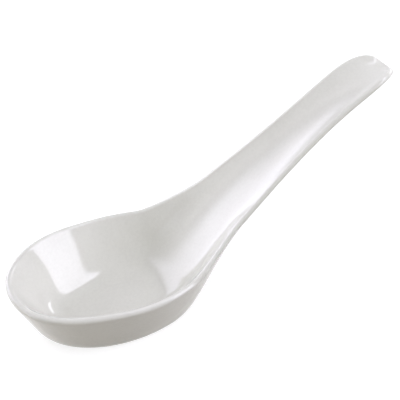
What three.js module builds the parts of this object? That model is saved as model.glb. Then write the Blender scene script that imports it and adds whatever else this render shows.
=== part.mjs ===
// A soup spoon with a flat-bottomed bowl and a trough handle that bends over at its end.
// Millimetres, +Z up. +X runs from the bowl towards the end of the handle.
// The origin lies on the table, under the widest part of the bowl.
// The spoon is one moulding. It is drawn as five solids that meet face to face on shared sections.
import * as THREE from "three";
import { mergeVertices } from "three/addons/utils/BufferGeometryUtils.js";

// Places along the bowl, measured back from its front edge
const bowlWidestAt = 35;
const baseFrontAt = 6.9;
const floorRiseAt = 44;
const rimDipAt = 50.5;
const bowlEndAt = 54;
const neckAt = 73;

// Places along the handle, measured forward from its end
const overallLength = 132.8;
const gripToEnd = 20.8;
const tipStartToEnd = 16;
const crestToEnd = 4.5;
const troughToEnd = 4.8;
const tipRoundLength = 6.2;

// Widths across the spoon
const bowlWidth = 45.4;
const baseWidth = 39.4;
const neckWidth = 25.1;
const gripWidth = 17.6;
const tipWidth = 14.8;

// Heights above the table
const frontHeight = 18.3;
const dipHeight = 15.8;
const crestHeight = 59.6;
const tipHeight = 57.8;
const troughEndHeight = 57.8;

// Thicknesses and roundings
const floorThickness = 3;
const lipThickness = 2.2;
const handleThickness = 2.1;
const troughDepth = 2.6;
const baseEdgeRound = 2.3;
const innerWallSpread = 3.5;
const innerSideSpread = 5;
const innerWallRound = 6;
const innerSideRound = 7.4;

// Slopes of the outline, in half-width lost for each millimetre of length
const neckSlope = 0.13;
const tipSlope = 0.38;
// Slope of the rim line where it reaches the end of the handle
const tipFall = 0.7;

// Shares that set how far each curve holds its direction
const frontFullness = 0.72;
const sideFullness = 0.51;
const shoulderHold = 0.415;
const neckHold = 0.235;
const gripHold = 0.45;
const taperHold = 0.34;
const tipSideHold = 0.3;
const tipEndHold = 0.66;
const frontRimHold = 0.655;
const sideRimHold = 0.56;
const dipHold = 0.145;
const crestHold = 0.185;
const fallHold = 0.66;
const tipFallHold = 0.44;
const floorRiseHold = 0.25;
const neckFloorHold = 0.75;
const troughStartHold = 0.33;
const troughHold = 0.2;
// Shares of the half-width where the trough's side bends up, and over which it bends, outside and inside
const troughCorner = 0.8;
const troughBend = 0.18;
const insideCorner = 0.6;
const insideBend = 0.35;
// Depth of the dished floor beyond the bowl as a share of the half-width
const dishShare = 0.22;
// How sharply a size stops growing as it nears its limit
const softLimitPower = 4;
// Share of the way from the bowl to the tip at which the bowl's section has become the trough
const neckShare = 0.54;
// Share of the way from the front to the widest place where the front sections meet
const frontHubShare = 0.5;
// Share of the tip's round that its sections spread over
const tipHubShare = 0.3;

// How finely the surfaces are divided
const frontRibs = 14;
const bowlRibs = 9;
const neckRibs = 9;
const handleRibs = 9;
const tipRibs = 4;
const tipRoundRibs = 9;
const floorRings = 4;
const wallRings = 8;
const innerBendRings = 7;
const outerBendRings = 5;
const lipSteps = 4;
const solveSteps = 48;

const ringCount = floorRings + wallRings;
const halfBowl = bowlWidth / 2;
const gripAt = overallLength - gripToEnd;
const tipStartAt = overallLength - tipStartToEnd;
const crestAt = overallLength - crestToEnd;
const troughEndAt = overallLength - troughToEnd;
const tipRoundAt = overallLength - tipRoundLength;
const { lerp, smoothstep } = THREE.MathUtils;
const handleStartAt = lerp(bowlEndAt, tipStartAt, neckShare);

// A line through knots, each with its place, value and slope, and the share of the run on each
// side over which it holds that slope. It gives the value and slope at any place.
function smoothLine(knots) {
  const spans = [];
  for (let k = 1; k < knots.length; k += 1) {
    const from = knots[k - 1];
    const to = knots[k];
    const run = to.at - from.at;
    const leave = from.holdAfter * run;
    const arrive = to.holdBefore * run;
    spans.push(new THREE.CubicBezierCurve(
      new THREE.Vector2(from.at, from.value),
      new THREE.Vector2(from.at + leave, from.value + from.slope * leave),
      new THREE.Vector2(to.at - arrive, to.value - to.slope * arrive),
      new THREE.Vector2(to.at, to.value),
    ));
  }
  const first = knots[0];
  const last = knots[knots.length - 1];
  return (place) => {
    if (place <= first.at) return { value: first.value, slope: first.slope };
    if (place >= last.at) return { value: last.value, slope: last.slope };
    const span = spans.find((curve) => place <= curve.v3.x);
    let low = 0;
    let high = 1;
    for (let step = 0; step < solveSteps; step += 1) {
      const middle = (low + high) / 2;
      if (span.getPoint(middle).x < place) low = middle;
      else high = middle;
    }
    const along = span.getTangent(low);
    return { value: span.getPoint(low).y, slope: along.y / along.x };
  };
}

// Half-width of the outline from the widest place to where the tip starts to round
const halfWidth = smoothLine([
  { at: bowlWidestAt, value: halfBowl, slope: 0, holdAfter: shoulderHold },
  { at: neckAt, value: neckWidth / 2, slope: -neckSlope, holdBefore: neckHold, holdAfter: neckHold },
  { at: gripAt, value: gripWidth / 2, slope: 0, holdBefore: gripHold, holdAfter: taperHold },
  { at: tipRoundAt, value: tipWidth / 2, slope: -tipSlope, holdBefore: taperHold },
]);

// Height of the rim: a slight dip beside the bowl, a long rise, a crest and an end that bends over
const rimHeight = smoothLine([
  { at: 0, value: frontHeight, slope: 0, holdAfter: frontRimHold },
  { at: rimDipAt, value: dipHeight, slope: 0, holdBefore: sideRimHold, holdAfter: dipHold },
  { at: crestAt, value: crestHeight, slope: 0, holdBefore: crestHold, holdAfter: fallHold },
  { at: overallLength, value: tipHeight, slope: -tipFall, holdBefore: tipFallHold },
]);

// Height of the inside along the middle: flat in the bowl, then up the neck and along the trough
const handleRim = rimHeight(handleStartAt);
const floorHeight = smoothLine([
  { at: floorRiseAt, value: floorThickness, slope: 0, holdAfter: floorRiseHold },
  {
    at: handleStartAt,
    value: handleRim.value - troughDepth,
    slope: handleRim.slope,
    holdBefore: neckFloorHold,
    holdAfter: troughStartHold,
  },
  { at: troughEndAt, value: troughEndHeight, slope: 0, holdBefore: troughHold },
]);

const frontOutline = new THREE.CubicBezierCurve(
  new THREE.Vector2(0, 0),
  new THREE.Vector2(0, frontFullness * halfBowl),
  new THREE.Vector2(bowlWidestAt * (1 - sideFullness), halfBowl),
  new THREE.Vector2(bowlWidestAt, halfBowl),
);

const tipSide = tipSideHold * tipRoundLength;
const tipOutline = new THREE.CubicBezierCurve(
  new THREE.Vector2(tipRoundAt, tipWidth / 2),
  new THREE.Vector2(tipRoundAt + tipSide, tipWidth / 2 - tipSlope * tipSide),
  new THREE.Vector2(overallLength, tipEndHold * tipWidth / 2),
  new THREE.Vector2(overallLength, 0),
);

// How far the base's edge stands in from the rim along one section. The front of the base is half an ellipse.
function baseInset(hub, along, across, reach) {
  const halfBase = baseWidth / 2;
  if (hub >= bowlWidestAt) return halfBowl - halfBase;
  const baseFront = bowlWidestAt - baseFrontAt;
  const offset = (hub - bowlWidestAt) / baseFront;
  const square = (along / baseFront) ** 2 + (across / halfBase) ** 2;
  const half = offset * along / baseFront;
  return reach - (Math.sqrt(half ** 2 + square * (1 - offset ** 2)) - half) / square;
}

// Share of a section's height reached at a share of its width: flat, then a bend, then a straight side
function sideRise(share, corner, bend) {
  const past = share - corner;
  if (past >= bend) return past / (1 - corner);
  if (past <= -bend) return 0;
  const turned = (past + bend) / (2 * bend);
  return 2 * bend * (turned ** 3 - turned ** 4 / 2) / (1 - corner);
}

// The smaller of two sizes, reached gradually, so neither is passed
function softMinimum(first, second) {
  return (first ** -softLimitPower + second ** -softLimitPower) ** (-1 / softLimitPower);
}

// Shares of the width at which a section's rings lie: over the flat, around the bend and up the side
function ringShares(bendRings, corner, bend) {
  const shares = [0];
  const zones = [[floorRings, corner - bend], [bendRings, corner + bend], [wallRings - bendRings, 1]];
  for (const [count, end] of zones) {
    const start = shares[shares.length - 1];
    for (let k = 1; k <= count; k += 1) shares.push(lerp(start, end, k / count));
  }
  return shares;
}

// One section of the spoon, from the middle at the hub out to the rim, on the +Y side
function makeRib(rim, hub) {
  const neck = smoothstep(hub, floorRiseAt, handleStartAt);
  const reach = Math.hypot(rim.x - hub, rim.y);
  const along = (rim.x - hub) / reach;
  const across = rim.y / reach;
  const floor = floorHeight(hub);
  const underside = floor.value - lerp(floorThickness, handleThickness, neck) * Math.hypot(1, floor.slope);
  const inset = baseInset(hub, along, across, reach);
  const lipRadius = lerp(lipThickness, handleThickness, neck) / 2;
  const lipReach = reach - lipRadius;
  const rimTop = rimHeight(rim.x).value;
  const lipHeight = rimTop - lipRadius;

  const outerCorner = lerp(1 - inset / reach, troughCorner, neck);
  const outerBend = lerp(baseEdgeRound / reach, troughBend, neck);

  // Inside, the floor is dished beyond the bowl, and the wall takes up what is left of the depth
  const depth = rimTop - floor.value;
  const dish = softMinimum(dishShare * reach, depth) * smoothstep(hub, floorRiseAt, bowlEndAt);
  const wallShare = (depth - dish) / (dipHeight - floorThickness);
  const sideways = across ** 2;
  const innerInset = inset + wallShare * lerp(innerWallSpread, innerSideSpread, sideways);
  const innerRound = wallShare * lerp(innerWallRound, innerSideRound, sideways);
  const innerCorner = lerp(1 - innerInset / reach, insideCorner, neck);
  const innerBend = softMinimum(lerp(innerRound / reach, insideBend, neck), innerCorner);
  const outerAngle = Math.atan2((lipHeight - underside) / (1 - outerCorner), reach);
  const innerAngle = Math.atan2((lipHeight - floor.value - dish) / (1 - innerCorner) + 2 * dish, reach);

  const place = (distance, height) => new THREE.Vector3(
    hub + along * distance - bowlWidestAt,
    across * distance,
    height,
  );
  const outerReach = lipReach + lipRadius * Math.sin(outerAngle);
  const outerTop = lipHeight - lipRadius * Math.cos(outerAngle);
  const outer = ringShares(outerBendRings, outerCorner, outerBend).map((share) => place(
    share * outerReach,
    lerp(underside, outerTop, sideRise(share, outerCorner, outerBend)),
  ));
  const innerReach = lipReach - lipRadius * Math.sin(innerAngle);
  const innerTop = lipHeight + lipRadius * Math.cos(innerAngle);
  const inner = ringShares(innerBendRings, innerCorner, innerBend).map((share) => place(
    share * innerReach,
    lerp(floor.value, innerTop - dish, sideRise(share, innerCorner, innerBend)) + dish * share ** 2,
  ));
  const lip = [outer[ringCount]];
  for (let k = 1; k < lipSteps; k += 1) {
    const angle = lerp(outerAngle - Math.PI / 2, innerAngle + Math.PI / 2, k / lipSteps);
    lip.push(place(lipReach + lipRadius * Math.cos(angle), lipHeight + lipRadius * Math.sin(angle)));
  }
  lip.push(inner[ringCount]);
  return { inner, outer, lip };
}

// All sections in order from the front of the bowl to the end of the handle
const ribs = [];
const frontHub = frontHubShare * bowlWidestAt;
for (let k = 0; k < frontRibs; k += 1) {
  const rim = frontOutline.getPointAt(k / frontRibs);
  ribs.push(makeRib(rim, lerp(frontHub, bowlWidestAt, rim.x / bowlWidestAt)));
}
const bodyStops = [bowlWidestAt, bowlEndAt, handleStartAt, tipStartAt, tipRoundAt];
const bodyCounts = [bowlRibs, neckRibs, handleRibs, tipRibs];
const stopRibs = [];
for (let k = 0; k < bodyCounts.length; k += 1) {
  stopRibs.push(ribs.length);
  for (let step = 0; step < bodyCounts[k]; step += 1) {
    const place = lerp(bodyStops[k], bodyStops[k + 1], step / bodyCounts[k]);
    ribs.push(makeRib(new THREE.Vector2(place, halfWidth(place).value), place));
  }
}
const tipHub = tipHubShare * tipRoundLength;
for (let k = 0; k <= tipRoundRibs; k += 1) {
  const rim = tipOutline.getPointAt(k / tipRoundRibs);
  ribs.push(makeRib(rim, tipRoundAt + tipHub * (rim.x - tipRoundAt) / tipRoundLength));
}
const lastRib = ribs.length - 1;

// A closed solid between two sections and two rings, with its mirror image on the -Y side
function moulding(ribFrom, ribTo, ringFrom, ringTo) {
  const positions = [];
  const corner = (point, side) => positions.push(point.x, side * point.y, point.z);
  const onMiddle = (point) => point.y === 0;
  const triangle = (a, b, c) => {
    // In the middle plane a triangle would lie on its own mirror image
    if ([a, b, c].every(onMiddle)) return;
    [a, b, c].forEach((point) => corner(point, 1));
    [a, c, b].forEach((point) => corner(point, -1));
  };
  const quad = (a, b, c, d, facing) => {
    if (facing > 0) {
      triangle(a, b, c);
      triangle(a, c, d);
    } else {
      triangle(a, c, b);
      triangle(a, d, c);
    }
  };
  const strip = (lines, from, to, facing) => {
    for (let k = from; k < to; k += 1) {
      quad(lines[0][k], lines[1][k], lines[1][k + 1], lines[0][k + 1], facing);
    }
  };
  const hasLip = ringTo === ringCount;
  for (let r = ribFrom; r < ribTo; r += 1) {
    const [near, far] = [ribs[r], ribs[r + 1]];
    strip([near.inner, far.inner], ringFrom, ringTo, 1);
    strip([near.outer, far.outer], ringFrom, ringTo, -1);
    if (hasLip) strip([near.lip, far.lip], 0, lipSteps, -1);
    else quad(near.outer[ringTo], far.outer[ringTo], far.inner[ringTo], near.inner[ringTo], -1);
    if (ringFrom > 0) {
      quad(near.outer[ringFrom], far.outer[ringFrom], far.inner[ringFrom], near.inner[ringFrom], 1);
    }
  }
  const sectionFace = (rib, facing) => {
    strip([rib.outer, rib.inner], ringFrom, ringTo, facing);
    for (let k = 1; hasLip && k < lipSteps; k += 1) {
      if (facing > 0) triangle(rib.lip[0], rib.lip[k + 1], rib.lip[k]);
      else triangle(rib.lip[0], rib.lip[k], rib.lip[k + 1]);
    }
  };
  if (ribFrom > 0) sectionFace(ribs[ribFrom], 1);
  if (ribTo < lastRib) sectionFace(ribs[ribTo], -1);

  const geometry = new THREE.BufferGeometry();
  geometry.setAttribute("position", new THREE.Float32BufferAttribute(positions, 3));
  const merged = mergeVertices(geometry);
  merged.computeVertexNormals();
  return merged;
}

// Glossy white moulding, one material for each solid
function glossyWhite() {
  return new THREE.MeshStandardMaterial({ color: 0xe9e8e3, roughness: 0.16, metalness: 0 });
}

const [, neckRib, handleRib, tipRib] = stopRibs;
const solids = {
  bowl_floor: moulding(0, neckRib, 0, floorRings),
  bowl_wall: moulding(0, neckRib, floorRings, ringCount),
  neck: moulding(neckRib, handleRib, 0, ringCount),
  handle: moulding(handleRib, tipRib, 0, ringCount),
  handle_tip: moulding(tipRib, lastRib, 0, ringCount),
};

const spoon = new THREE.Group();
for (const [name, geometry] of Object.entries(solids)) {
  const mesh = new THREE.Mesh(geometry, glossyWhite());
  mesh.name = name;
  spoon.add(mesh);
}

export default spoon;
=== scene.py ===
import math
import bpy
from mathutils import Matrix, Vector


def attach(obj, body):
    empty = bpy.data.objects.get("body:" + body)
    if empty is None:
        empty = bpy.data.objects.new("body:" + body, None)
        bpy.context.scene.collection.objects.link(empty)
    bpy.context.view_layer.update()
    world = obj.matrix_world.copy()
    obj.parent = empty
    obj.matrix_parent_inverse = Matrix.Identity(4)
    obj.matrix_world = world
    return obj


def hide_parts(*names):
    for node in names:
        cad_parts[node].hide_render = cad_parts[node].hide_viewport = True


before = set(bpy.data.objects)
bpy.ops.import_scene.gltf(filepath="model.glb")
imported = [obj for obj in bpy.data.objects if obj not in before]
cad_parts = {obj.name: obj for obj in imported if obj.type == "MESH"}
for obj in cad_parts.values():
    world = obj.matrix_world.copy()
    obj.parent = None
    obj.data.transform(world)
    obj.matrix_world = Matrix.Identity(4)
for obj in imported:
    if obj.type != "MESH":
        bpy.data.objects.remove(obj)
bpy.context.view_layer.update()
print("frame:", len(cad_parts), "solids")


# one output socket; arithmetic on it adds Math nodes, node() adds any other node
class Wire:
    def __init__(self, tree, socket=None):
        self.tree = tree
        self.socket = socket

    def node(self, kind, settings=None, inputs=None, output=0):
        made = self.tree.nodes.new(kind)
        for name, value in (settings or {}).items():
            setattr(made, name, value)
        for key, value in (inputs or {}).items():
            plug(self.tree, value, made.inputs[key])
        return Wire(self.tree, made.outputs[output])

    def output(self, name):
        return Wire(self.tree, self.socket.node.outputs[name])

    def math(self, operation, *others):
        return self.node("ShaderNodeMath", {"operation": operation}, dict(enumerate((self, *others))))

    def __add__(self, other):
        return self.math("ADD", other)

    def __sub__(self, other):
        return self.math("SUBTRACT", other)

    def __rsub__(self, other):
        return (self * -1).math("ADD", other)

    def __mul__(self, other):
        return self.math("MULTIPLY", other)

    def __truediv__(self, other):
        return self.math("DIVIDE", other)

    def __pow__(self, power):
        return self.math("POWER", power)

    def __neg__(self):
        return self * -1

    __radd__ = __add__
    __rmul__ = __mul__

    def clamp(self):
        return self.node("ShaderNodeClamp", inputs={"Value": self})

    def smooth(self):
        held = self.clamp()
        return held * held * (3 - 2 * held)

    def mix(self, start, end):
        return start + (end - start) * self

    def mixColour(self, start, end):  # 6, 7 and 2 are a Mix node's colour sockets
        return self.node("ShaderNodeMix", {"data_type": "RGBA"}, {"Factor": self, 6: start, 7: end}, output=2)


def plug(tree, value, socket):
    if isinstance(value, Wire):
        tree.links.new(value.socket, socket)
    else:
        socket.default_value = value


def newTree(name, inputs, outputs):
    tree = bpy.data.node_groups.new(name, "GeometryNodeTree")
    for label, kind in inputs:
        tree.interface.new_socket(name=label, in_out="INPUT", socket_type=kind)
    for label, kind in outputs:
        tree.interface.new_socket(name=label, in_out="OUTPUT", socket_type=kind)
    entry = tree.nodes.new("NodeGroupInput")
    exits = tree.nodes.new("NodeGroupOutput")
    return tree, entry, exits


def bezier(share, a, b, c, d):
    rest = 1 - share
    return rest ** 3 * a + 3 * rest * rest * share * b + 3 * rest * share * share * c + share ** 3 * d


# a smooth run between two places: value and slope at each end, and how far each slope is held
lineInputs = ["Place", "From", "Until", "Start", "End", "Start Slope", "End Slope", "Start Hold", "End Hold"]
lineSteps = 26  # halvings that find the place on the curve


def makeLineTree():
    sockets, results = [[(n, "NodeSocketFloat") for n in names] for names in (lineInputs, ("Value", "Slope"))]
    tree, entry, exits = newTree("heldLine", sockets, results)
    place, begin, until, start, end, startSlope, endSlope, startHold, endHold = [
        Wire(tree, entry.outputs[n]) for n in lineInputs]
    run = until - begin
    share = ((place - begin) / run).clamp()
    loopIn = tree.nodes.new("GeometryNodeRepeatInput")
    loopOut = tree.nodes.new("GeometryNodeRepeatOutput")
    loopIn.pair_with_output(loopOut)
    loopOut.repeat_items.clear()
    for item in ("Low", "High"):
        loopOut.repeat_items.new("FLOAT", item)
    loopIn.inputs["Iterations"].default_value = lineSteps
    loopIn.inputs["High"].default_value = 1
    low, high = [Wire(tree, loopIn.outputs[n]) for n in ("Low", "High")]
    middle = (low + high) * 0.5
    short = bezier(middle, 0, startHold, 1 - endHold, 1).math("LESS_THAN", share)
    plug(tree, short.mix(low, middle), loopOut.inputs["Low"])
    plug(tree, short.mix(middle, high), loopOut.inputs["High"])
    t = Wire(tree, loopOut.outputs["Low"])
    leave = start + startSlope * startHold * run
    arrive = end - endSlope * endHold * run
    plug(tree, bezier(t, start, leave, arrive, end), exits.inputs["Value"])
    rest = 1 - t
    ease = 2 * rest * t
    rise = rest * rest * (leave - start) + ease * (arrive - leave) + t * t * (end - arrive)
    travel = rest * rest * startHold + ease * (1 - endHold - startHold) + t * t * endHold
    plug(tree, rise / (travel * run), exits.inputs["Slope"])
    return tree


lineTree = makeLineTree()


def heldLine(place, begin, until, start, end, holds, slopes=(0, 0)):
    values = (place, begin, until, start, end, *slopes, *holds)
    return place.node("GeometryNodeGroup", {"node_tree": lineTree}, dict(zip(lineInputs, values)))


# the spoon, with the same sizes as the solids: metres, places measured back from the front of the bowl
spoon = {
    "sizes": {
        "Overall Length": 0.1328,
        "Bowl Widest At": 0.035,
        "Base Front At": 0.0069,
        "Floor Rise At": 0.044,
        "Rim Dip At": 0.0505,
        "Bowl End At": 0.054,
        "Neck At": 0.073,
        "Grip To End": 0.0208,
        "Tip Start To End": 0.016,
        "Crest To End": 0.0045,
        "Trough To End": 0.0048,
        "Tip Round": 0.0062,
        "Bowl Width": 0.0454,
        "Base Width": 0.0394,
        "Neck Width": 0.0251,
        "Grip Width": 0.0176,
        "Tip Width": 0.0148,
        "Front Height": 0.0183,
        "Dip Height": 0.0158,
        "Crest Height": 0.0596,
        "Tip Height": 0.0578,
        "Trough End Height": 0.0578,
        "Floor Thickness": 0.003,
        "Lip Thickness": 0.0022,
        "Handle Thickness": 0.0021,
        "Trough Depth": 0.0026,
        "Base Edge Round": 0.0023,
        "Inner Front Spread": 0.0035,
        "Inner Side Spread": 0.005,
        "Inner Front Round": 0.006,
        "Inner Side Round": 0.0074,
        "Neck Slope": 0.13,
        "Tip Slope": 0.38,
        "Tip Fall": 0.7,
    },
    "holds": {  # how far each curve keeps its direction at its two ends
        "front": (0.72, 0.51), "shoulder": (0.415, 0.235), "neck": (0.235, 0.45), "taper": (0.34, 0.34),
        "tip": (0.3, 0.66), "frontRim": (0.655, 0.56), "rise": (0.145, 0.185), "fall": (0.66, 0.44),
        "floor": (0.25, 0.75), "trough": (0.33, 0.2),
    },
    "shares": {  # corners, bends and dish against the half-width, then places along the spoon
        "troughCorner": 0.8, "troughBend": 0.18, "insideCorner": 0.6, "insideBend": 0.35, "dish": 0.22,
        "neck": 0.54, "frontHub": 0.5, "tipHub": 0.3,
    },
    "ribs": {"front": 64, "body": 232, "tip": 36},
    "rings": {
        "floor": 10, "innerBend": 34, "innerSide": 10, "lip": 14,
        "outerSide": 16, "outerBend": 22, "base": 12,
    },
    "softPower": 4,  # how sharply a length stops growing once it nears its limit
    "weldGap": 1e-6,
}
lipMark = "lip"


def softMinimum(first, second):
    power = spoon["softPower"]
    return (first ** -power + second ** -power) ** (-1 / power)


def makeSpoonTree(material):
    geometry = ("Geometry", "NodeSocketGeometry")
    sizes = [(n, "NodeSocketFloat") for n in spoon["sizes"]]
    tree, entry, exits = newTree("spoonForm", [geometry, *sizes], [geometry])
    size = {n: Wire(tree, entry.outputs[n]) for n in spoon["sizes"]}
    holds, shares, ribs, rings = [spoon[n] for n in ("holds", "shares", "ribs", "rings")]
    maker = Wire(tree)
    length, widestAt = size["Overall Length"], size["Bowl Widest At"]
    halfBowl = size["Bowl Width"] * 0.5
    halfBase = size["Base Width"] * 0.5
    halfTip = size["Tip Width"] * 0.5
    tipRoundAt = length - size["Tip Round"]
    gripAt = length - size["Grip To End"]
    crestAt = length - size["Crest To End"]
    tipStartAt = length - size["Tip Start To End"]
    bowlEndAt = size["Bowl End At"]
    handleStartAt = bowlEndAt + (tipStartAt - bowlEndAt) * shares["neck"]

    # one half as a unit grid: ribs along it, rings from the inner middle over the lip to the outer middle
    ribCount, ringCount = sum(ribs.values()), sum(rings.values())
    grid = maker.node("GeometryNodeMeshGrid", inputs={
        "Size X": 1, "Size Y": 1, "Vertices X": ribCount + 1, "Vertices Y": ringCount + 1})
    place = maker.node("ShaderNodeSeparateXYZ", inputs={"Vector": maker.node("GeometryNodeInputPosition")})
    rib = (place.output("X") + 0.5) * ribCount
    ring = (place.output("Y") + 0.5) * ringCount

    # rim and hub of each rib
    front = (rib / ribs["front"]).clamp()
    body = ((rib - ribs["front"]) / ribs["body"]).clamp()
    tip = ((rib - ribs["front"] - ribs["body"]) / ribs["tip"]).clamp()
    frontFull, sideFull = holds["front"]
    frontX = bezier(front, 0, 0, widestAt * (1 - sideFull), widestAt)
    frontY = bezier(front, 0, halfBowl * frontFull, halfBowl, halfBowl)
    bodyX = body.mix(widestAt, tipRoundAt)
    neckAt, halfNeck, halfGrip = size["Neck At"], size["Neck Width"] * 0.5, size["Grip Width"] * 0.5
    neckSlope, tipSlope = -size["Neck Slope"], -size["Tip Slope"]
    shoulder = heldLine(bodyX, widestAt, neckAt, halfBowl, halfNeck, holds["shoulder"], (0, neckSlope))
    neckLine = heldLine(bodyX, neckAt, gripAt, halfNeck, halfGrip, holds["neck"], (neckSlope, 0))
    taper = heldLine(bodyX, gripAt, tipRoundAt, halfGrip, halfTip, holds["taper"], (0, tipSlope))
    bodyY = shoulder + (neckLine - halfNeck) + (taper - halfGrip)
    tipSide = size["Tip Round"] * holds["tip"][0]
    tipX = bezier(tip, tipRoundAt, tipRoundAt + tipSide, length, length)
    tipY = bezier(tip, halfTip, halfTip + tipSlope * tipSide, halfTip * holds["tip"][1], 0)
    rimX = frontX + (bodyX - widestAt) + (tipX - tipRoundAt)
    rimY = frontY + (bodyY - halfBowl) + (tipY - halfTip)
    frontHub = widestAt * shares["frontHub"] + frontX * (1 - shares["frontHub"])
    hub = frontHub + (bodyX - widestAt) + (tipX - tipRoundAt) * shares["tipHub"]
    reach = ((rimX - hub) ** 2 + rimY ** 2) ** 0.5
    along, across = (rimX - hub) / reach, rimY / reach

    # heights of the rim, the floor and the underside
    dipAt, dip = size["Rim Dip At"], size["Dip Height"]
    crest = size["Crest Height"]
    frontRim = heldLine(rimX, 0, dipAt, size["Front Height"], dip, holds["frontRim"])
    riseRim = heldLine(rimX, dipAt, crestAt, dip, crest, holds["rise"])
    fallRim = heldLine(rimX, crestAt, length, crest, size["Tip Height"],
                       holds["fall"], (0, -size["Tip Fall"]))
    rim = frontRim + (riseRim - dip) + (fallRim - crest)

    handleRim = heldLine(handleStartAt, dipAt, crestAt, dip, crest, holds["rise"])
    trough, troughSlope = handleRim - size["Trough Depth"], handleRim.output("Slope")

    lower = heldLine(hub, size["Floor Rise At"], handleStartAt, size["Floor Thickness"], trough,
                     holds["floor"], (0, troughSlope))
    upper = heldLine(hub, handleStartAt, length - size["Trough To End"], trough, size["Trough End Height"],
                     holds["trough"], (troughSlope, 0))
    floor = lower + (upper - trough)
    slope = hub.math("LESS_THAN", handleStartAt).mix(upper.output("Slope"), lower.output("Slope"))
    neck = ((hub - size["Floor Rise At"]) / (handleStartAt - size["Floor Rise At"])).smooth()
    thickness = neck.mix(size["Floor Thickness"], size["Handle Thickness"])
    underside = floor - thickness * (slope * slope + 1) ** 0.5

    # where each section turns up into its side, outside round the oval base and inside round the dished floor
    baseFront = widestAt - size["Base Front At"]
    offset = ((hub - widestAt) / baseFront).math("MINIMUM", 0)
    square = (along / baseFront) ** 2 + (across / halfBase) ** 2
    half = offset * along / baseFront
    frontInset = reach - ((half * half + square * (1 - offset * offset)) ** 0.5 - half) / square
    inset = hub.math("LESS_THAN", widestAt).mix(halfBowl - halfBase, frontInset)
    lipRadius = neck.mix(size["Lip Thickness"], size["Handle Thickness"]) * 0.5
    lipReach, lipHeight = reach - lipRadius, rim - lipRadius
    outerCorner = neck.mix(1 - inset / reach, shares["troughCorner"])
    outerBend = neck.mix(size["Base Edge Round"] / reach, shares["troughBend"])
    sideways = across * across
    depth = rim - floor
    dishing = ((hub - size["Floor Rise At"]) / (bowlEndAt - size["Floor Rise At"])).smooth()
    dish = softMinimum(reach * shares["dish"], depth) * dishing
    wallShare = (depth - dish) / (dip - size["Floor Thickness"])
    spread = wallShare * sideways.mix(size["Inner Front Spread"], size["Inner Side Spread"])
    roundness = wallShare * sideways.mix(size["Inner Front Round"], size["Inner Side Round"])
    innerCorner = neck.mix(1 - (inset + spread) / reach, shares["insideCorner"])
    innerBend = softMinimum(neck.mix(roundness / reach, shares["insideBend"]), innerCorner)
    outerAngle = ((lipHeight - underside) / (1 - outerCorner)).math("ARCTAN2", reach)
    innerAngle = ((lipHeight - floor - dish) / (1 - innerCorner) + dish * 2).math("ARCTAN2", reach)

    # share of the width at a ring
    def stretch(count, flatRings, bendRings, sideRings, cornerShare, bendShare):
        flat = (count / flatRings).clamp()
        bend = ((count - flatRings) / bendRings).clamp()
        side = ((count - flatRings - bendRings) / sideRings).clamp()
        return flat * (cornerShare - bendShare) + bend * bendShare * 2 + side * (1 - cornerShare - bendShare)

    # flat, then a bend, then a straight side
    def rise(share, cornerShare, bendShare):
        turned = ((share - cornerShare + bendShare) / (bendShare * 2)).clamp()
        beyond = (share - cornerShare - bendShare).math("MAXIMUM", 0)
        return (bendShare * 2 * (turned ** 3 - turned ** 4 * 0.5) + beyond) / (1 - cornerShare)

    innerRings = rings["floor"] + rings["innerBend"] + rings["innerSide"]
    innerShare = stretch(ring, rings["floor"], rings["innerBend"], rings["innerSide"],
                         innerCorner, innerBend)
    outerShare = stretch(ringCount - ring, rings["base"], rings["outerBend"], rings["outerSide"],
                         outerCorner, outerBend)
    lipTurn = ((ring - innerRings) / rings["lip"]).clamp()
    innerReach = lipReach - lipRadius * innerAngle.math("SINE")
    innerTop = lipHeight + lipRadius * innerAngle.math("COSINE")
    outerReach = lipReach + lipRadius * outerAngle.math("SINE")
    outerTop = lipHeight - lipRadius * outerAngle.math("COSINE")
    angle = lipTurn.mix(innerAngle + math.pi / 2, outerAngle - math.pi / 2)
    lipOut = lipReach + lipRadius * angle.math("COSINE")
    lipUp = lipHeight + lipRadius * angle.math("SINE")
    outward = innerShare * innerReach + (lipOut - innerReach) + (outerShare - 1) * outerReach
    innerUp = rise(innerShare, innerCorner, innerBend).mix(floor, innerTop - dish) + dish * innerShare ** 2
    outerUp = rise(outerShare, outerCorner, outerBend).mix(underside, outerTop)
    upward = innerUp + (lipUp - innerTop) + (outerUp - outerTop)
    spot = maker.node("ShaderNodeCombineXYZ", inputs={
        "X": hub + along * outward - widestAt, "Y": across * outward, "Z": upward})

    # shaped half with its lip marked for wear, its mirror image, and the weld between them
    marked = maker.node("GeometryNodeStoreNamedAttribute", {"data_type": "FLOAT", "domain": "POINT"}, {
        "Geometry": grid, "Name": lipMark, "Value": 4 * lipTurn * (1 - lipTurn)})  # 1 on top of the lip
    shaped = maker.node("GeometryNodeSetPosition", inputs={"Geometry": marked, "Position": spot})
    mirrored = maker.node("GeometryNodeTransform", inputs={"Geometry": shaped, "Scale": (1, -1, 1)})
    turned = maker.node("GeometryNodeFlipFaces", inputs={"Mesh": mirrored})
    joined = tree.nodes.new("GeometryNodeJoinGeometry")
    for part in (shaped, turned):
        plug(tree, part, joined.inputs[0])
    welded = maker.node("GeometryNodeMergeByDistance", inputs={
        "Geometry": Wire(tree, joined.outputs[0]), "Distance": spoon["weldGap"]})
    smooth = maker.node("GeometryNodeSetShadeSmooth", inputs={"Geometry": welded})
    real = maker.node("GeometryNodeRealizeInstances", inputs={"Geometry": smooth})
    plug(tree, maker.node("GeometryNodeSetMaterial", inputs={"Geometry": real, "Material": material}),
         exits.inputs["Geometry"])
    return tree


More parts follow.
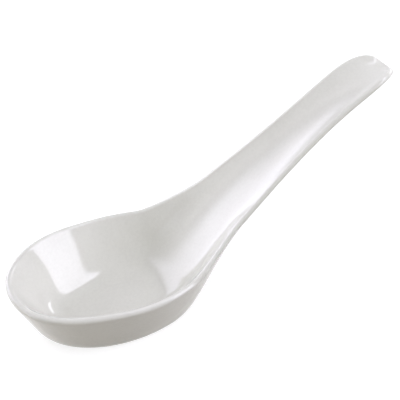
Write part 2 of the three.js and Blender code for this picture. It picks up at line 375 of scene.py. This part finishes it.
def makeSpoon(material):
    piece = bpy.data.objects.new("spoon", bpy.data.meshes.new("spoon"))
    bpy.context.scene.collection.objects.link(piece)
    tree = makeSpoonTree(material)
    form = piece.modifiers.new("spoonForm", "NODES")
    form.node_group = tree
    for item in tree.interface.items_tree:
        if item.in_out == "INPUT" and item.name in spoon["sizes"]:
            form[item.identifier] = spoon["sizes"][item.name]
    bpy.context.view_layer.update()
    shaped = piece.evaluated_get(bpy.context.evaluated_depsgraph_get())
    mesh = bpy.data.meshes.new_from_object(shaped)
    piece.modifiers.clear()
    piece.data = mesh
    print("spoon:", len(mesh.vertices), "vertices", len(mesh.polygons), "faces")
    return piece


# white moulded gloss: clouds and grain in the colour, hairline marks and lip wear in the shine, and a
# scuffed foot; each noise has its scale, detail and roughness
gloss = {
    "pale": (0.768, 0.764, 0.705, 1), "deep": (0.72, 0.715, 0.656, 1), "scuffed": (0.65, 0.645, 0.58, 1),
    "cloud": (90, 3, 0.5), "grain": (1100, 2, 0.6), "toneLow": 0.32, "toneHigh": 0.62,
    "hair": (60, 4, 0.7), "hairStretch": (1, 22, 22), "hairLow": 0.56, "hairHigh": 0.7, "hairRough": 0.03,
    "scuff": (900, 3, 0.6), "scuffLow": 0.45, "scuffHigh": 0.6, "scuffHeight": 0.0007, "scuffRough": 0.3,
    "ripple": (260, 2, 0.4), "rippleStrength": 0.06, "rippleDepth": 0.0004,
    "roughness": 0.055, "roughnessVary": 0.03, "lipRough": 0.06, "ior": 1.55,
}


def makeGloss():
    material = bpy.data.materials.new("whiteGloss")
    material.use_nodes = True
    tree = material.node_tree
    shader = tree.nodes["Principled BSDF"]
    maker = Wire(tree)
    spot = maker.node("ShaderNodeTexCoord").output("Object")
    height = maker.node("ShaderNodeSeparateXYZ", inputs={"Vector": spot}).output("Z")
    lip = maker.node("ShaderNodeAttribute", {"attribute_name": lipMark}).output("Fac")

    def noise(name, place=spot):
        scale, detail, rough = gloss[name]
        return maker.node("ShaderNodeTexNoise", inputs={
            "Vector": place, "Scale": scale, "Detail": detail, "Roughness": rough})

    def between(value, low, high):  # 0 at low, 1 at high
        return ((value - low) / (high - low)).clamp()

    cloud, grain, ripple = [noise(n) for n in ("cloud", "grain", "ripple")]
    drawn = maker.node("ShaderNodeVectorMath", {"operation": "MULTIPLY"}, {0: spot, 1: gloss["hairStretch"]})
    hairs = between(noise("hair", drawn), gloss["hairLow"], gloss["hairHigh"])
    rubbed = between(noise("scuff"), gloss["scuffLow"], gloss["scuffHigh"])
    scuff = rubbed * (1 - height / gloss["scuffHeight"]).smooth()

    tone = between((cloud + grain) * 0.5, gloss["toneLow"], gloss["toneHigh"])
    colour = scuff.mixColour(tone.mixColour(gloss["deep"], gloss["pale"]), gloss["scuffed"])
    plug(tree, colour, shader.inputs["Base Color"])
    shine = grain * gloss["roughnessVary"] + gloss["roughness"] + hairs * gloss["hairRough"]
    wear = scuff * gloss["scuffRough"] + lip * cloud * gloss["lipRough"]
    plug(tree, shine + wear, shader.inputs["Roughness"])
    bump = maker.node("ShaderNodeBump", inputs={
        "Strength": gloss["rippleStrength"], "Distance": gloss["rippleDepth"], "Height": ripple})
    plug(tree, bump, shader.inputs["Normal"])
    shader.inputs["IOR"].default_value = gloss["ior"]
    print("material:", len(tree.nodes), "nodes")
    return material


spoonPiece = makeSpoon(makeGloss())
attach(spoonPiece, "root")
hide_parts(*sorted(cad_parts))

# camera at the photograph's view: focal length and image width in pixels, the rest in degrees, metres
# and millimetres of sensor
view = {"heading": 61.04, "tilt": 39.8, "focal": 903.5, "image": 400, "sensor": 36, "distance": 0.28978,
        "aim": (0.035, 0, 0.020), "shiftRight": -0.00527, "shiftUp": 0.00526, "near": 0.01}


def makeCamera():
    turn, tilt = math.radians(view["heading"]), math.radians(view["tilt"])
    ahead = Vector((math.cos(tilt) * math.cos(turn), math.cos(tilt) * math.sin(turn), -math.sin(tilt)))
    right = ahead.cross(Vector((0, 0, 1))).normalized()
    up = right.cross(ahead)
    aim = Vector(view["aim"]) + right * view["shiftRight"] + up * view["shiftUp"]
    lens = bpy.data.cameras.new("camera")
    lens.sensor_width = view["sensor"]
    lens.lens = view["focal"] / view["image"] * view["sensor"]
    lens.clip_start = view["near"]
    camera = bpy.data.objects.new("camera", lens)
    camera.location = aim - ahead * view["distance"]
    camera.rotation_mode = "QUATERNION"
    camera.rotation_quaternion = ahead.to_track_quat("-Z", "Y")
    bpy.context.scene.collection.objects.link(camera)
    bpy.context.scene.camera = camera
    print("camera:", round(lens.lens, 1), "mm lens")


makeCamera()
bpy.context.scene.view_settings.view_transform = "Standard"

# glowing panels round the spoon: corners as heading and height seen from the bowl, brightness of the face,
# the share of the panel over which its edges fade, and whether it lights the spoon or only shines on it
panels = {
    "window": {
        "corners": ((-58.5, 9), (-35, 9), (37, 65.5), (-3, 69.3)), "face": 6.4, "fade": 0.02,
        "tint": (0.9, 0.89, 1, 1), "diffuse": True},
    "endWindow": {
        "corners": ((-4, 6), (30, 6), (30, 16), (-4, 16)), "face": 3.4, "fade": 0.1,
        "tint": (0.99, 0.98, 1, 1), "diffuse": True},
    "gleam": {
        "corners": ((-8, 17), (38, 17), (38, 26), (-8, 27.5)), "face": 8.0, "fade": 0.12,
        "tint": (0.95, 0.94, 1, 1), "diffuse": False},
    "backWall": {
        "corners": ((147, -25), (78, -25), (78, 34), (147, 56)), "face": 3.9, "fade": 0.28,
        "tint": (0.88, 0.865, 1, 1), "diffuse": True},
    "leftWall": {
        "corners": ((206, -20), (150, -20), (150, 34), (206, 34)), "face": 3.6, "fade": 0.35,
        "tint": (0.95, 0.94, 1, 1), "diffuse": True},
}
panelCentre = Vector((0, 0, 0.01))
panelDistance = 0.9
squareCorners = ((0, 0), (1, 0), (1, 1), (0, 1))  # in order round a face, as shares of its sides
black, white = (0, 0, 0, 1), (1, 1, 1, 1)


def bearing(heading, height):
    turn, lift = math.radians(heading), math.radians(height)
    return Vector((math.cos(lift) * math.cos(turn), math.cos(lift) * math.sin(turn), math.sin(lift)))


def makePanelMaterial(name, panel):
    material = bpy.data.materials.new(name)
    material.use_nodes = True
    tree = material.node_tree
    tree.nodes.clear()
    maker = Wire(tree)
    share = maker.node("ShaderNodeTexCoord").output("UV")
    spot = maker.node("ShaderNodeSeparateXYZ", inputs={"Vector": share})

    def edge(run):
        return ((0.5 - (run - 0.5).math("ABSOLUTE")) / panel["fade"]).smooth()

    shade = (edge(spot.output("X")) * edge(spot.output("Y"))).mixColour(black, panel["tint"])
    glow = maker.node("ShaderNodeEmission", inputs={"Color": shade, "Strength": panel["face"]})
    plug(tree, glow, tree.nodes.new("ShaderNodeOutputMaterial").inputs["Surface"])
    return material


def makePanels():
    for name, panel in panels.items():
        corners = [panelCentre + bearing(*c) * panelDistance for c in panel["corners"]]
        mesh = bpy.data.meshes.new(name)
        mesh.from_pydata(corners, [], [(0, 1, 2, 3)])
        layer = mesh.uv_layers.new(name="share")
        for loop, share in zip(layer.data, squareCorners):
            loop.uv = share
        mesh.materials.append(makePanelMaterial(name, panel))
        holder = bpy.data.objects.new(name, mesh)
        holder.visible_camera = False
        holder.visible_diffuse = panel["diffuse"]
        bpy.context.scene.collection.objects.link(holder)
    print("panels:", len(panels))


makePanels()

# a broad lamp high on the bowl's side
highLight = {"heading": 197, "height": 60, "distance": 1.1, "size": 1.4, "face": 0.64}


def makeHighLight():
    lamp = bpy.data.lights.new("highLight", "AREA")
    lamp.shape = "SQUARE"
    lamp.size = highLight["size"]
    lamp.energy = highLight["face"] * math.pi * highLight["size"] ** 2
    holder = bpy.data.objects.new("highLight", lamp)
    away = bearing(highLight["heading"], highLight["height"])
    holder.location = panelCentre + away * highLight["distance"]
    holder.rotation_mode = "QUATERNION"
    holder.rotation_quaternion = away.to_track_quat("Z", "Y")
    holder.visible_camera = False
    holder.visible_glossy = False
    bpy.context.scene.collection.objects.link(holder)
    print("lamp:", round(lamp.energy, 1), "W")


makeHighLight()

# pale floor and surroundings: white to the camera and in reflections, plain light elsewhere
room = {
    "floor": 3.0, "drop": 0.0001, "floorColour": (0.33, 0.295, 0.22, 1), "ambient": 0.15,
    "floorShade": (0.4, 0.4, 0.4, 1), "nearGlow": (0.75, 0.75, 0.75, 1), "farGlow": white,
    "glowFrom": 0.2, "glowOver": 0.3,
}


def seenDirectly(maker):
    path = maker.node("ShaderNodeLightPath")
    return path.output("Is Camera Ray").math("MAXIMUM", path.output("Is Glossy Ray")).math(
        "MAXIMUM", path.output("Is Transmission Ray"))


def makeRoom():
    world = bpy.data.worlds.new("studio")
    bpy.context.scene.world = world
    world.use_nodes = True
    tree = world.node_tree
    maker = Wire(tree)
    background = tree.nodes["Background"]
    background.inputs["Color"].default_value = white
    plug(tree, seenDirectly(maker).mix(room["ambient"], 1), background.inputs["Strength"])

    mesh = bpy.data.meshes.new("floor")
    side = room["floor"]
    corners = [((x - 0.5) * side, (y - 0.5) * side, -room["drop"]) for x, y in squareCorners]
    mesh.from_pydata(corners, [], [(0, 1, 2, 3)])
    floor = bpy.data.objects.new("floor", mesh)
    bpy.context.scene.collection.objects.link(floor)
    material = bpy.data.materials.new("paleFloor")
    material.use_nodes = True
    tree = material.node_tree
    tree.nodes.clear()
    maker = Wire(tree)
    plain = maker.node("ShaderNodeBsdfDiffuse", inputs={"Color": room["floorColour"]})
    faint = maker.node("ShaderNodeBsdfDiffuse", inputs={"Color": room["floorShade"]})
    spot = maker.node("ShaderNodeTexCoord").output("Object")
    away = maker.node("ShaderNodeVectorMath", {"operation": "LENGTH"}, {0: spot}, output="Value")
    spread = ((away - room["glowFrom"]) / room["glowOver"]).smooth()
    glowColour = spread.mixColour(room["nearGlow"], room["farGlow"])
    glow = maker.node("ShaderNodeEmission", inputs={"Color": glowColour})
    lit = maker.node("ShaderNodeAddShader", inputs={0: faint, 1: glow})
    above = maker.node("ShaderNodeMixShader", inputs={0: seenDirectly(maker), 1: plain, 2: lit})
    below = maker.node("ShaderNodeNewGeometry").output("Backfacing")
    clear = maker.node("ShaderNodeBsdfTransparent")
    both = maker.node("ShaderNodeMixShader", inputs={0: below, 1: above, 2: clear})
    plug(tree, both, tree.nodes.new("ShaderNodeOutputMaterial").inputs["Surface"])
    mesh.materials.append(material)
    print("room: floor", side, "m across")


makeRoom()
